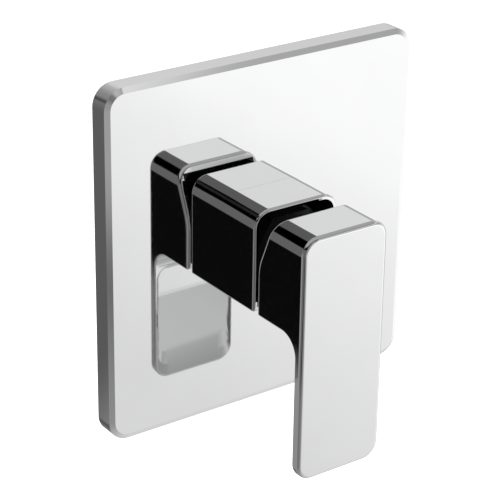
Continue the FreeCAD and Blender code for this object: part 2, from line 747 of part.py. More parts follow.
def make_moving_disc():
    """Ceramic disc with the hollow where hot and cold water meet."""
    body = new_body("moving_disc")
    outline = sketch(body, rise="slider_back")
    circle(outline, "slider_radius", ("0", "slider_offset"))
    pad(body, outline, "disc_depth")
    hollow = sketch(body, rise="slider_back")
    rounded_rectangle(hollow, "mixing_width", "mixing_height", "mixing_corner", "slider_offset")
    pocket(body, hollow, "mixing_depth", forwards=True)
    return body


def make_disc_carrier():
    """Driven by the stem's ball and led by the guide's rails along its two flats."""
    body = new_body("disc_carrier")
    outline = sketch(body, rise="slider_middle")
    circle(outline, "slider_radius", ("0", "slider_offset"))
    pad(body, outline, "slider_depth")
    flats = sketch(body, rise="slider_front")
    reach = "slider_radius + slider_offset + overrun"
    rectangle(flats, half("slider_flats"), reach, minus(reach), reach)
    rectangle(flats, minus(reach), minus(half("slider_flats")), minus(reach), reach)
    pocket(body, flats, "slider_depth")
    socket = sketch(body, rise="slider_front")
    circle(socket, "ball_radius + socket_play")
    pocket(body, socket, "slider_depth")
    return body


def make_stem_guide():
    """Turns in the neck, carries the pivot pin and lets the stem tilt in a flared slot."""
    body = new_body("stem_guide")
    shaft = sketch(body, rise="guide_back")
    circle(shaft, "guide_radius")
    pad(body, shaft, "guide_front - guide_back")
    flange = sketch(body, rise="guide_back - guide_rail_depth")
    circle(flange, "guide_flange_radius")
    pad(body, flange, "guide_rail_depth + guide_flange_depth")
    track = sketch(body, rise="guide_back")
    track_side = "slider_flats / 2 + slip_clearance"
    track_end = "guide_flange_radius + overrun"
    rectangle(track, minus(track_side), track_side, minus(track_end), track_end)
    pocket(body, track, "guide_rail_depth")
    slot = sketch(body, "YZ_Plane")
    polygon(slot, slot_outline())
    pocket(body, slot, "stem_side + 2 * slip_clearance", symmetric=True)
    bearing = sketch(body, "YZ_Plane")
    circle(bearing, "pin_radius", (minus("pivot"), "0"))
    pocket(body, bearing, "2 * guide_flange_radius", symmetric=True)
    return body


def slot_outline():
    """Side view of the slot: the space that the stem sweeps from rest to its full lift."""
    lean = "tan(tilt_angle * 1 deg)"
    sine = "sin(tilt_angle * 1 deg)"
    cosine = "cos(tilt_angle * 1 deg)"
    rest = "stem_side / 2 + slot_play"
    leaning = f"stem_side / 2 / {cosine} + slot_play"
    front = "guide_front + overrun"
    back = "guide_back - overrun"
    heel = f"pivot - (stem_heel * {cosine} - stem_side / 2 * {sine})"
    heel_low = f"stem_heel * {sine} + stem_side / 2 * {cosine} + slot_play"
    arm_low = f"(pivot - ({back})) * {lean} + arm_radius / {cosine} + slot_play"
    return [
        (minus(front), minus(rest)),
        (minus("pivot"), minus(leaning)),
        (minus(heel), minus(heel_low)),
        (minus(back), minus(arm_low)),
        (minus(back), rest),
        (minus("pivot"), leaning),
        (minus(front), f"({front} - pivot) * {lean} + {leaning}"),
    ]


def make_stem_pin():
    body = new_body("stem_pin")
    section = sketch(body, "YZ_Plane")
    circle(section, "pin_radius", (minus("pivot"), "0"))
    pad(body, section, "pin_length", symmetric=True)
    return body


def make_lever_stem():
    """Square stem with a ball end behind its pivot."""
    body = new_body("lever_stem")
    square = sketch(body, rise="pivot - stem_heel")
    centred_square(square, "stem_side")
    pad(body, square, "stem_front - (pivot - stem_heel)")
    arm = sketch(body, rise="ball_centre")
    circle(arm, "arm_radius")
    pad(body, arm, "stem_arm")
    ball = body.newObject("PartDesign::AdditiveSphere", "stem_ball")
    bind(ball, "Radius", "ball_radius")
    bind(ball, "Placement.Base.y", minus("ball_centre"))
    doc.recompute()
    hole = sketch(body, "YZ_Plane")
    circle(hole, "pin_radius + running_clearance", (minus("pivot"), "0"))
    pocket(body, hole, "stem_side + 2 * overrun", symmetric=True)
    return body


def make_lever():
    """Block with the sleeve's section and a paddle that hangs in front of it, drawn from the side."""
    body = new_body("lever")
    side_view = sketch(body, "YZ_Plane")
    top = half("sleeve_height")
    polygon(side_view, [
        (minus("lever_front"), top),
        (minus("lever_front"), minus("paddle_drop")),
        (minus("paddle_back"), minus("paddle_drop")),
        (minus("paddle_back"), minus(top)),
        (minus("lever_back"), minus(top)),
        (minus("lever_back"), "0"),
        (minus("lever_back + relief_depth"), top),
    ])
    blank = pad(body, side_view, "sleeve_width", symmetric=True)
    round_lever(body, blank)
    hollow_lever(body)
    return body


def round_lever(body, blank):
    """Round the hollow curve under the block, the fold of its back, the corners and the edges."""
    near = number("running_clearance")
    top = at_height(half("sleeve_height"))
    under = at_height(minus(half("sleeve_height")))
    foot = at_height(minus("paddle_drop"))
    middle = at_height("0")
    on_back = at_depth("lever_back")
    on_paddle = at_depth("paddle_back")

    def runs_back(box):
        return box.YLength > near and box.XLength < near

    curve = fillet(body, blank, lambda box: under(box) and on_paddle(box), "blend_radius")
    fold = fillet(body, curve, lambda box: middle(box) and on_back(box), "relief_round")
    shouldered = fillet(body, fold, lambda box: runs_back(box) and (top(box) or foot(box)), "sleeve_corner")
    relief_place = -number("lever_back + relief_depth") - near
    paddle_place = -number("paddle_back") - near
    under_place = -number(half("sleeve_height")) + near

    def on_back_edge(box):
        crosses = box.XMin < 0 < box.XMax
        return box.YMin > relief_place and (not crosses or top(box) or under(box))

    def on_under_edge(box):
        crosses = box.XMin < 0 < box.XMax
        beside = box.XLength < near and box.ZMax < under_place and box.YMin > paddle_place
        return beside or (on_paddle(box) and (not crosses or foot(box)))

    eased = fillet(body, shouldered, on_back_edge, "back_round")
    undercut = fillet(body, eased, on_under_edge, "under_corner")
    fillet(body, undercut, at_depth("lever_front"), "front_round")


def hollow_lever(body):
    """Hollow the block, leaving a boss for the insert and holes for the set screw and its cap."""
    inside = sketch(body, rise="lever_back - overrun")
    sleeve_section(inside, minus("lever_wall"))
    pocket(body, inside, "cavity_depth + overrun", forwards=True)
    dish_paddle(body)
    boss = sketch(body, rise="insert_back")
    side = half("socket_boss")
    rectangle(boss, minus(side), side, minus("sleeve_height / 2 - lever_wall / 2"), side)
    pad(body, boss, "cavity_depth - socket_inset + overrun")
    socket = sketch(body, rise="insert_back")
    centred_square(socket, "insert_side")
    pocket(body, socket, "insert_length", forwards=True)
    screw_hole = sketch(body, "XY_Plane", minus("sleeve_height / 2"))
    circle(screw_hole, "grub_radius + running_clearance", ("0", minus("grub_place")))
    pocket(body, screw_hole, "sleeve_height / 2", forwards=True)
    cap_hole = sketch(body, "XY_Plane", minus("sleeve_height / 2"))
    circle(cap_hole, "cap_radius", ("0", minus("grub_place")))
    pocket(body, cap_hole, "cap_depth", forwards=True)


def dish_paddle(body):
    """A shallow hollow in the paddle's back, where the fingers pull, that runs out at its lower end."""
    high = "sleeve_height / 2 + blend_radius"
    low = "paddle_drop - dish_rim"
    width = "sleeve_width - 2 * dish_rim"
    corner = "sleeve_corner - dish_rim"
    rim = sketch(body, rise="paddle_back")
    rounded_rectangle(rim, width, f"{low} - ({high})", corner, minus(half(f"{low} + {high}")))
    bed_high = f"{high} + dish_slope"
    bed_low = f"{low} - dish_ramp"
    bed_middle = minus(half(f"{bed_low} + {bed_high}"))
    bed = sketch(body, rise="paddle_back + dish_depth")
    bed_height = f"{bed_low} - ({bed_high})"
    rounded_rectangle(bed, f"{width} - 2 * dish_slope", bed_height, f"{corner} - dish_slope", bed_middle)
    dish = body.newObject("PartDesign::SubtractiveLoft", "paddle_dish")
    dish.Profile = rim
    dish.Sections = [bed]
    dish.Ruled = True
    doc.recompute()


def make_lever_insert():
    body = new_body("lever_insert")
    block = sketch(body, rise="insert_back")
    centred_square(block, "insert_side")
    pad(body, block, "insert_length")
    socket = sketch(body, rise="insert_back")
    centred_square(socket, "stem_side + 2 * running_clearance")
    pocket(body, socket, "insert_length", forwards=True)
    hole = sketch(body, "XY_Plane", minus(half("insert_side")))
    circle(hole, "grub_radius + running_clearance", ("0", minus("grub_place")))
    pocket(body, hole, "insert_side / 2", forwards=True)
    return body


def make_grub_screw():
    body = new_body("grub_screw")
    tip = sketch(body, "XY_Plane", minus(half("stem_side")))
    circle(tip, "grub_radius", ("0", minus("grub_place")))
    pad(body, tip, "grub_length", backwards=True)
    key = sketch(body, "XY_Plane", minus("stem_side / 2 + grub_length"))
    hexagon(key, "grub_key", ("0", minus("grub_place")))
    pocket(body, key, "grub_key_depth", forwards=True)
    return body


def make_screw_cap():
    body = new_body("screw_cap")
    plug = sketch(body, "XY_Plane", minus("sleeve_height / 2"))
    circle(plug, "cap_radius", ("0", minus("grub_place")))
    pad(body, plug, "cap_depth")
    return body


def check_and_write(bodies):
    """Stop on any failed object or bad shape, then write one file for each sub-part."""
    doc.recompute()
    for item in doc.Objects:
        if "Invalid" in item.State or "Error" in item.State:
            raise RuntimeError(f"{item.Name} failed: {item.State}")
    for body in bodies:
        if body.Shape.isNull() or not body.Shape.isValid():
            raise RuntimeError(f"{body.Label} has no valid shape")
    os.makedirs("parts", exist_ok=True)
    for body in bodies:
        body.Shape.exportStep(f"parts/{body.Label}.step")
        print(body.Label, len(body.Shape.Solids), round(body.Shape.Volume))


MAKERS = [
    make_trim_plate,
    make_plate_gasket,
    make_plate_carrier,
    make_carrier_screws,
    make_handle_sleeve,
    make_sleeve_screws,
    make_valve_body,
    make_outlet_plug,
    make_plug_washer,
    make_cartridge_nut,
    make_cartridge_housing,
    make_cartridge_base,
    make_base_seals,
    make_fixed_disc,
    make_moving_disc,
    make_disc_carrier,
    make_stem_guide,
    make_stem_pin,
    make_lever_stem,
    make_lever,
    make_lever_insert,
    make_grub_screw,
    make_screw_cap,
]
check_and_write([make() for make in MAKERS])
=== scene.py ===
"""Concealed shower mixer: finishes, smooth copies, threads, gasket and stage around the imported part."""

import json
import math

import bpy
from bpy.props import FloatProperty, FloatVectorProperty, IntProperty, PointerProperty
from bpy.types import Operator, Panel, PropertyGroup
from mathutils import Matrix, Vector

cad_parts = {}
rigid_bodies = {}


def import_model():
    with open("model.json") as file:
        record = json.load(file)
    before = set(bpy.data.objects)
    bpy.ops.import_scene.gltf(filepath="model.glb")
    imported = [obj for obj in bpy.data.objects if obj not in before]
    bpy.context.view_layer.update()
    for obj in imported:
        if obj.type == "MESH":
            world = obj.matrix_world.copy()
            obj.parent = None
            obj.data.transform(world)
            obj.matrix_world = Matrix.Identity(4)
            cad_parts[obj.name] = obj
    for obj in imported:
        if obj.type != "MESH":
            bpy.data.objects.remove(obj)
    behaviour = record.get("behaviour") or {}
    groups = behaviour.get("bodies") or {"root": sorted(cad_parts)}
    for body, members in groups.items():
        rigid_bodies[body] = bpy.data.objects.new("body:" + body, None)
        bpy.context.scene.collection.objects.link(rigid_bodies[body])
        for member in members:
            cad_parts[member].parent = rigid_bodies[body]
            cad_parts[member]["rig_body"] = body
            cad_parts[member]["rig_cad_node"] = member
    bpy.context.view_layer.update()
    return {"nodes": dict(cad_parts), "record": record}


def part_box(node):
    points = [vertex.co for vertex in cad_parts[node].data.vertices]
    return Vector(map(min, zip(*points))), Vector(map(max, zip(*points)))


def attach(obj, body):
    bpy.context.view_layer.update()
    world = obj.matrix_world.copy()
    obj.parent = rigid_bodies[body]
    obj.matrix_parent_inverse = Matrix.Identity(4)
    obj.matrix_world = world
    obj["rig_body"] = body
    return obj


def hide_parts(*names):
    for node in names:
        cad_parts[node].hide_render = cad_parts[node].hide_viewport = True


bl_info = {
    "name": "Concealed shower mixer",
    "version": (1, 0, 0),
    "blender": (4, 5, 0),
    "location": "View3D > Sidebar > Mixer",
    "description": "Finishes, threads, gasket and stage of a concealed shower mixer",
    "category": "Object",
}

MILLIMETRE = 0.001
QUARTER_TURN = math.radians(90.0)
# A face nearer than this to level is flat, and a slope below this is gentle
FLAT = math.radians(0.5)
GENTLE = math.radians(10.0)
# How much more a large face counts than a small one in a smooth copy's normals
LARGE_FACE_WEIGHT = 100
# Part of a gentle slope that the flat before it takes on
EARLY_SHARE = 0.5
# Least part of a back face's normal that points back
FACING_SHARE = 0.5

# Values between which a noise mostly lies
NOISE_LOW, NOISE_HIGH = 0.3, 0.7
# Grains to the metre and detail of each texture
CLOUD = (35.0, 2.0)
HAZE = (400.0, 3.0)
STAIN = (60.0, 5.0)
RINGS = (900.0, 2.0)
SAND = (1300.0, 5.0)
DRAWN = (1600.0, 3.0)
FLOW = (45.0, 3.0)
MOULD = (2200.0, 4.0)
GLAZE = (900.0, 4.0)
FOAM_CELLS = 1500.0
RING_STRETCH = (0.04, 1.0, 0.04)
# Strength and height in metres of each relief
RING_RELIEF = (0.12, 0.0002)
SAND_RELIEF = (0.35, 0.0004)
MOULD_RELIEF = (0.25, 0.00012)
GLAZE_RELIEF = (0.25, 0.00002)
CELL_RELIEF = (0.5, 0.0003)
# Least and greatest roughness of each finish
BARE_ROUGHNESS = 0.55
FOAM_ROUGHNESS = 0.92
TURNED = (0.2, 0.34)
CAST = (0.34, 0.5)
PLATED = (0.22, 0.38)
GLAZED = (0.12, 0.2)
GLOSSY = (0.25, 0.35)
SMOOTH = (0.3, 0.45)
SATIN = (0.35, 0.5)
DULL = (0.42, 0.58)
MATT = (0.5, 0.7)
# Tone of a finish in the dark and the light parts of its texture, as shares of its colour
CHROME_SHARES = (0.985, 1.0)
BRASS_SHARES = (0.72, 1.0)
STEEL_SHARES = (0.85, 1.0)
MOULD_SHARES = (0.86, 1.1)
FOAM_SHARES = (1.25, 0.6)
# Name, place, size and share of the power of each lamp
LAMPS = (
    ("lamp_above", (0.2, -0.5, 1.5), 1.4, 1.0),
    ("lamp_front", (1.2, -1.2, 0.5), 1.2, 0.6),
    ("lamp_behind", (-0.8, 1.2, 0.8), 1.2, 0.6),
)
# Brightness of the tent in front, by the angle round the mixer's axis from the right towards the top
TONES_ROUND_FRONT = (
    (-180.0, 0.12), (-147.5, 0.12), (-145.5, 0.003), (-138.8, 0.003), (-138.0, 0.18), (-105.0, 0.3),
    (-78.0, 0.55), (-57.0, 0.69), (-47.0, 0.7), (-41.0, 0.785), (-38.0, 0.83), (-35.4, 0.86),
    (-33.0, 0.905), (-30.4, 0.975), (-26.0, 1.0), (-5.0, 1.0), (12.0, 0.45), (20.0, 0.36), (29.0, 0.4),
    (33.5, 0.72), (38.5, 0.72), (42.0, 0.1), (106.0, 0.1), (110.0, 0.0), (156.0, 0.0), (160.0, 0.12),
    (180.0, 0.12),
)
# The same behind the mixer
TONES_ROUND_BACK = (
    (-180.0, 0.14), (-165.0, 0.12), (-140.0, 0.1), (-117.0, 0.09), (-102.0, 0.115), (-84.0, 0.195),
    (-66.0, 0.31), (-55.0, 0.43), (-46.0, 0.51), (-42.0, 0.49), (-38.5, 0.4), (-35.0, 0.35), (-31.0, 0.31),
    (-27.0, 0.28), (-20.0, 0.27), (0.0, 0.55), (38.0, 0.64), (70.0, 0.62), (90.0, 0.5), (108.0, 0.27),
    (142.0, 0.22), (152.0, 0.1), (158.0, 0.055), (163.0, 0.1), (170.0, 0.16), (180.0, 0.14),
)
# Straight ahead of the mixer, from the left to the right, low down, higher up and level
TONES_AHEAD_LOW = (
    (-0.6, 0.08), (-0.38, 0.11), (-0.17, 0.13), (0.0, 0.3), (0.1, 0.53), (0.25, 0.7), (0.55, 0.88),
)
TONES_AHEAD_HIGH = (
    (-0.6, 0.1), (-0.38, 0.2), (-0.17, 0.36), (0.0, 0.47), (0.1, 0.56), (0.25, 0.7), (0.55, 0.88),
)
TONES_AHEAD_LEVEL = (
    (-0.6, 0.1), (-0.17, 0.3), (-0.06, 0.16), (0.04, 0.2), (0.13, 0.45), (0.3, 0.42), (0.55, 0.38),
)
# Low down behind at the left, least tone low down in front, and above
TONE_LOW_LEFT = 0.26
TONE_LOW_AHEAD = 0.17
TONE_ABOVE = 0.35
# Where one part of the tent fades into the next, along one axis of the direction from the mixer
FADE_HIGHER = (-0.43, -0.35)
FADE_LEVEL = (-0.3, -0.1)
FADE_LOW_AHEAD = (-0.46, -0.49)
FADE_AHEAD = (-0.835, -0.9)
FADE_BEHIND = (-0.05, 0.05)
FADE_UP = (0.5, 0.7)
FADE_UP_BEHIND = (-0.68, -0.56)
# The same along the sum of right and up
FADE_LOW_LEFT = (-0.95, -1.01)

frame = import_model()
NODES = frame["nodes"]
MOUNTS = {mount["name"]: mount for mount in frame["record"]["mounts"]}
BODIES = {name: piece["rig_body"] for name, piece in NODES.items()}


def colour(name, description, default):
    """A colour that a user can change."""
    return FloatVectorProperty(
        name=name, description=description, default=default, subtype="COLOR", size=3, min=0.0, max=1.0
    )


def length(name, description, default):
    """A length in metres that a user can change."""
    return FloatProperty(name=name, description=description, default=default, unit="LENGTH")


def share(name, description, default):
    """A plain factor that a user can change."""
    return FloatProperty(name=name, description=description, default=default, min=0.0)


def angle(name, description, default):
    """An angle, given in degrees, that a user can change."""
    return FloatProperty(name=name, description=description, default=math.radians(default), unit="ROTATION")


class MixerFinish(PropertyGroup):
    """Colours and polish of the mixer's surfaces."""

    chrome: colour("Chrome", "Polished chrome plating", (0.972, 0.974, 0.976))
    chrome_polish: share("Chrome roughness", "Least roughness of the plating", 0.018)
    chrome_haze: share("Chrome haze", "Greatest roughness of the plating", 0.036)
    # Painted shade, coloured near black, covers the hollows of the sleeve and the lever
    painted_shade_inside: colour("Painted shade inside", "Near black painted shade in the sleeve's and the lever's hollows", (0.012, 0.012, 0.012))
    dull_back: colour("Dull back", "Unpolished back of the trim plate", (0.22, 0.22, 0.225))
    brass: colour("Brass", "Cast and turned brass", (0.72, 0.52, 0.25))
    # Painted shade, coloured near black, lies on the cartridge nut and the casting's front inside the gap
    painted_shade_black: colour("Painted shade black", "Near black painted shade on the nut and the casting's front", (0.012, 0.0115, 0.011))
    steel: colour("Steel", "Screws and pivot pin", (0.56, 0.55, 0.53))
    rubber: colour("Rubber", "Seals and washer", (0.012, 0.012, 0.013))
    foam: colour("Foam", "Gasket between plate and tile", (0.06, 0.06, 0.065))
    dark_plastic: colour("Dark plastic", "Plate carrier and stem guide", (0.018, 0.019, 0.021))
    pale_plastic: colour("Pale plastic", "Cartridge housing and base", (0.55, 0.54, 0.5))
    ceramic: colour("Ceramic", "Sealing discs", (0.82, 0.81, 0.77))
    cap: colour("Cap", "Cap over the set screw", (0.35, 0.355, 0.36))


class MixerShell(PropertyGroup):
    """Walls of the plated pieces, which bound the plate's dull back and the painted shade in the sleeve and
    the lever, and limits for smooth copies.
    """

    plate_rim: length("Plate rim", "Wall of the plate's turned edge", 0.0024)
    plate_skin: length("Plate skin", "Wall of the plate's front", 0.0025)
    plate_corner: length("Plate corner", "Edge of the plate to its dull back, past the corners", 0.004)
    sleeve_flange: length("Sleeve flange", "How far the sleeve's flange stands out", 0.005)
    sleeve_wall: length("Sleeve wall", "Wall of the sleeve", 0.0021)
    sleeve_lip: length("Sleeve lip", "Plated end of the sleeve's inside", 0.0006)
    lever_wall: length("Lever wall", "Wall of the lever's block", 0.0032)
    lever_web: length("Lever web", "Lever's front to the bottom of its hollow", 0.0095)
    paddle_depth: length("Paddle depth", "Lever's front to the paddle's back", 0.005)
    dish_depth: length("Dish depth", "Hollow in the paddle's back", 0.0016)
    margin: length("Margin", "How far the dull back and the painted shade reach over their edge", 0.0001)
    merge: length("Merge", "Corners nearer than this become one", 0.000002)
    crease: angle("Crease", "Edges sharper than this stay sharp", 18.0)


class MixerThread(PropertyGroup):
    """Half-inch pipe thread in the open ports."""

    pitch: length("Pitch", "Rise of one turn", 0.001814)
    depth: length("Depth", "How far a ridge stands out of the port's wall", 0.0005)
    root: length("Root", "How far a ridge is sunk in the port's wall", 0.00015)
    foot_share: share("Foot share", "Width of a ridge's foot, as a share of the pitch", 0.8)
    crest_share: share("Crest share", "Width of a ridge's crest, as a share of its foot", 0.25)
    steps: IntProperty(name="Steps", description="Segments in one turn", default=40, min=12)
    crease: angle("Crease", "Edges sharper than this stay sharp", 35.0)
    merge: length("Merge", "Corners nearer than this become one", 0.0000015)


class MixerGasket(PropertyGroup):
    """Foam strip round the back of the plate."""

    width: length("Width", "Foam strip, across", 0.004)
    corner: length("Corner", "Outer corner radius of the strip", 0.0075)
    corner_steps: IntProperty(name="Corner steps", description="Segments in a corner", default=10, min=3)
    rounding: length("Rounding", "Rounding of the foam's edges", 0.0009)
    rounding_steps: IntProperty(name="Rounding steps", description="Segments in a rounding", default=4, min=1)
    crease: angle("Crease", "Edges sharper than this stay sharp", 50.0)


class MixerStage(PropertyGroup):
    """Camera, light and surroundings."""

    camera_place: FloatVectorProperty(
        name="Camera place", description="Where the camera stands",
        default=(-0.4805, -0.7152, 0.3626), size=3, subtype="XYZ", unit="LENGTH",
    )
    camera_yaw: angle("Camera yaw", "How far the camera is turned to the right", 35.70)
    camera_pitch: angle("Camera pitch", "How far the camera looks down", 24.49)
    camera_roll: angle("Camera roll", "How far the camera leans", 0.91)
    focal_length: share("Focal length", "Focal length on a full frame, in millimetres", 139.62)
    sight: length("Sight", "How far the camera sees", 50.0)
    floor_drop: length("Floor drop", "Axis of the mixer to the floor", 0.32)
    floor_radius: length("Floor radius", "Reach of the floor", 7.0)
    floor_tone: colour("Floor tone", "Colour of the floor", (0.9, 0.9, 0.9))
    floor_roughness: share("Floor roughness", "Roughness of the floor", 0.9)
    floor_glow: share("Floor glow", "Light that only the camera and mirrors see on the floor", 0.5)
    floor_steps: IntProperty(name="Floor steps", description="Corners of the floor", default=96, min=12)
    tent_radius: length("Tent radius", "Reach of the light tent that the chrome mirrors", 3.0)
    tent_steps: IntProperty(name="Tent steps", description="Fineness of the tent", default=5, min=1)
    lamp_power: share("Lamp power", "Watts of the main lamp", 18.0)
    ambient: share("Ambient", "Even light from all sides", 0.55)


def node_material(name):
    """A fresh material with its shader, and the tools to add to it."""
    material = bpy.data.materials.new(name)
    material.use_nodes = True
    tree = material.node_tree
    return material, tree, tree.nodes["Principled BSDF"]


def place_texture(tree):
    """Coordinates on the piece, in metres."""
    return tree.nodes.new("ShaderNodeTexCoord").outputs["Object"]


def noise(tree, place, grain, stretch=None):
    """Noise of a given grain, stretched along an axis where asked."""
    if stretch:
        mapping = tree.nodes.new("ShaderNodeMapping")
        mapping.inputs["Scale"].default_value = stretch
        tree.links.new(place, mapping.inputs["Vector"])
        place = mapping.outputs["Vector"]
    texture = tree.nodes.new("ShaderNodeTexNoise")
    texture.inputs["Scale"].default_value, texture.inputs["Detail"].default_value = grain
    tree.links.new(place, texture.inputs["Vector"])
    return texture.outputs["Fac"]


def spread(tree, value, low, high):
    """Map a noise on a range."""
    span = tree.nodes.new("ShaderNodeMapRange")
    span.inputs["From Min"].default_value = NOISE_LOW
    span.inputs["From Max"].default_value = NOISE_HIGH
    span.inputs["To Min"].default_value = low
    span.inputs["To Max"].default_value = high
    tree.links.new(value, span.inputs["Value"])
    return span.outputs["Result"]


def shades(tree, value, tone, shares):
    """Make a colour darker and lighter by a noise."""
    ramp = tree.nodes.new("ShaderNodeValToRGB")
    for element, place, part in zip(ramp.color_ramp.elements, (NOISE_LOW, NOISE_HIGH), shares):
        element.position = place
        element.color = (*tinted(tone, part), 1.0)
    tree.links.new(value, ramp.inputs["Fac"])
    return ramp.outputs["Color"]


def relief(tree, shader, height, strength, distance):
    """Raise the surface by a texture."""
    bump = tree.nodes.new("ShaderNodeBump")
    bump.inputs["Strength"].default_value = strength
    bump.inputs["Distance"].default_value = distance
    tree.links.new(height, bump.inputs["Height"])
    tree.links.new(bump.outputs["Normal"], shader.inputs["Normal"])


def tinted(tone, factor):
    """A colour made lighter or darker."""
    return tuple(min(1.0, part * factor) for part in tone)


def combine(tree, operation, first, second):
    """Calculate with two values, each a number or the output of a node."""
    node = tree.nodes.new("ShaderNodeMath")
    node.operation = operation
    for socket, value in zip(node.inputs, (first, second)):
        if isinstance(value, float):
            socket.default_value = value
        else:
            tree.links.new(value, socket)
    return node.outputs["Value"]


def fade(tree, value, start, end):
    """Rise softly from zero at the start to one at the end."""
    span = tree.nodes.new("ShaderNodeMapRange")
    span.interpolation_type = "SMOOTHSTEP"
    span.inputs["From Min"].default_value = start
    span.inputs["From Max"].default_value = end
    tree.links.new(value, span.inputs["Value"])
    return span.outputs["Result"]


def mixed(tree, factor, first, second):
    """Blend two values, each a number or the output of a node."""
    node = tree.nodes.new("ShaderNodeMix")
    tree.links.new(factor, node.inputs["Factor"])
    for socket, value in (("A", first), ("B", second)):
        if isinstance(value, float):
            node.inputs[socket].default_value = value
        else:
            tree.links.new(value, node.inputs[socket])
    return node.outputs["Result"]


def toned(tree, value, stops):
    """Brightness that follows a value through a row of stops."""
    first, last = stops[0][0], stops[-1][0]
    span = tree.nodes.new("ShaderNodeMapRange")
    span.inputs["From Min"].default_value = first
    span.inputs["From Max"].default_value = last
    tree.links.new(value, span.inputs["Value"])
    node = tree.nodes.new("ShaderNodeValToRGB")
    elements = node.color_ramp.elements
    while len(elements) < len(stops):
        elements.new(1.0)
    for element, (place, tone) in zip(elements, stops):
        element.position = (place - first) / (last - first)
        element.color = (tone, tone, tone, 1.0)
    tree.links.new(span.outputs["Result"], node.inputs["Fac"])
    return node.outputs["Color"]


def tent_tone(tree):
    """Brightness of the tent in each direction from the mixer."""
    aim = tree.nodes.new("ShaderNodeVectorMath")
    aim.operation = "NORMALIZE"
    tree.links.new(place_texture(tree), aim.inputs["Vector"])
    parts = tree.nodes.new("ShaderNodeSeparateXYZ")
    tree.links.new(aim.outputs["Vector"], parts.inputs["Vector"])
    right, back, up = parts.outputs["X"], parts.outputs["Y"], parts.outputs["Z"]
    turn = combine(tree, "MULTIPLY", combine(tree, "ARCTAN2", up, right), math.degrees(1.0))
    low, high = toned(tree, right, TONES_AHEAD_LOW), toned(tree, right, TONES_AHEAD_HIGH)
    ahead = mixed(tree, fade(tree, up, *FADE_HIGHER), low, high)
    ahead = mixed(tree, fade(tree, up, *FADE_LEVEL), ahead, toned(tree, right, TONES_AHEAD_LEVEL))
    least = combine(tree, "MULTIPLY", fade(tree, up, *FADE_LOW_AHEAD), TONE_LOW_AHEAD)
    around = combine(tree, "MAXIMUM", toned(tree, turn, TONES_ROUND_FRONT), least)
    front = mixed(tree, fade(tree, back, *FADE_AHEAD), around, ahead)
    low_left = fade(tree, combine(tree, "ADD", right, up), *FADE_LOW_LEFT)
    behind = mixed(tree, low_left, toned(tree, turn, TONES_ROUND_BACK), TONE_LOW_LEFT)
    level = mixed(tree, fade(tree, back, *FADE_BEHIND), front, behind)
    above = combine(tree, "MULTIPLY", fade(tree, up, *FADE_UP), fade(tree, back, *FADE_UP_BEHIND))
    return mixed(tree, above, level, TONE_ABOVE)


def seen_directly(tree):
    """One for rays from the camera, from mirrors and through glass, and zero for the rest."""
    path = tree.nodes.new("ShaderNodeLightPath")
    mirrored = combine(tree, "MAXIMUM", path.outputs["Is Glossy Ray"], path.outputs["Is Transmission Ray"])
    return combine(tree, "MAXIMUM", path.outputs["Is Camera Ray"], mirrored)


def inside_box(tree, place, low, high):
    """One where a point lies between two corners, and zero elsewhere."""
    parts = tree.nodes.new("ShaderNodeSeparateXYZ")
    tree.links.new(place, parts.inputs["Vector"])
    mask = None
    for axis in range(3):
        middle = (low[axis] + high[axis]) / 2
        reach = (high[axis] - low[axis]) / 2
        compare = tree.nodes.new("ShaderNodeMath")
        compare.operation = "COMPARE"
        compare.inputs[1].default_value = middle
        compare.inputs[2].default_value = reach
        tree.links.new(parts.outputs[axis], compare.inputs[0])
        if mask is None:
            mask = compare.outputs["Value"]
            continue
        mask = combine(tree, "MULTIPLY", mask, compare.outputs["Value"])
    return mask


def chrome_finish(name, finish, dull_or_painted_shade, *insides):
    """Mirror plating outside, and a dull tone without metal in one or two boxes: the plate's unpolished back,
    and near black painted shade in the sleeve's and the lever's hollows.
    """
    material, tree, shader = node_material(name)
    place = place_texture(tree)
    mask = inside_box(tree, place, *insides[0])
    for inside in insides[1:]:
        mask = combine(tree, "MAXIMUM", mask, inside_box(tree, place, *inside))
    plating = shades(tree, noise(tree, place, CLOUD), finish.chrome, CHROME_SHARES)
    tone = tree.nodes.new("ShaderNodeMix")
    tone.data_type = "RGBA"
    tone.inputs["B"].default_value = (*dull_or_painted_shade, 1.0)
    tree.links.new(mask, tone.inputs["Factor"])
    tree.links.new(plating, tone.inputs["A"])
    tree.links.new(tone.outputs["Result"], shader.inputs["Base Color"])
    haze = spread(tree, noise(tree, place, HAZE), finish.chrome_polish, finish.chrome_haze)
    polish = tree.nodes.new("ShaderNodeMix")
    polish.inputs["B"].default_value = BARE_ROUGHNESS
    tree.links.new(mask, polish.inputs["Factor"])
    tree.links.new(haze, polish.inputs["A"])
    tree.links.new(polish.outputs["Result"], shader.inputs["Roughness"])
    tree.links.new(combine(tree, "SUBTRACT", 1.0, mask), shader.inputs["Metallic"])
    return material


def turned_brass(name, finish):
    """Brass with the fine rings of a lathe."""
    material, tree, shader = node_material(name)
    place = place_texture(tree)
    tone = shades(tree, noise(tree, place, STAIN), finish.brass, BRASS_SHARES)
    tree.links.new(tone, shader.inputs["Base Color"])
    shader.inputs["Metallic"].default_value = 1.0
    rings = noise(tree, place, RINGS, RING_STRETCH)
    tree.links.new(spread(tree, rings, *TURNED), shader.inputs["Roughness"])
    relief(tree, shader, rings, *RING_RELIEF)
    return material


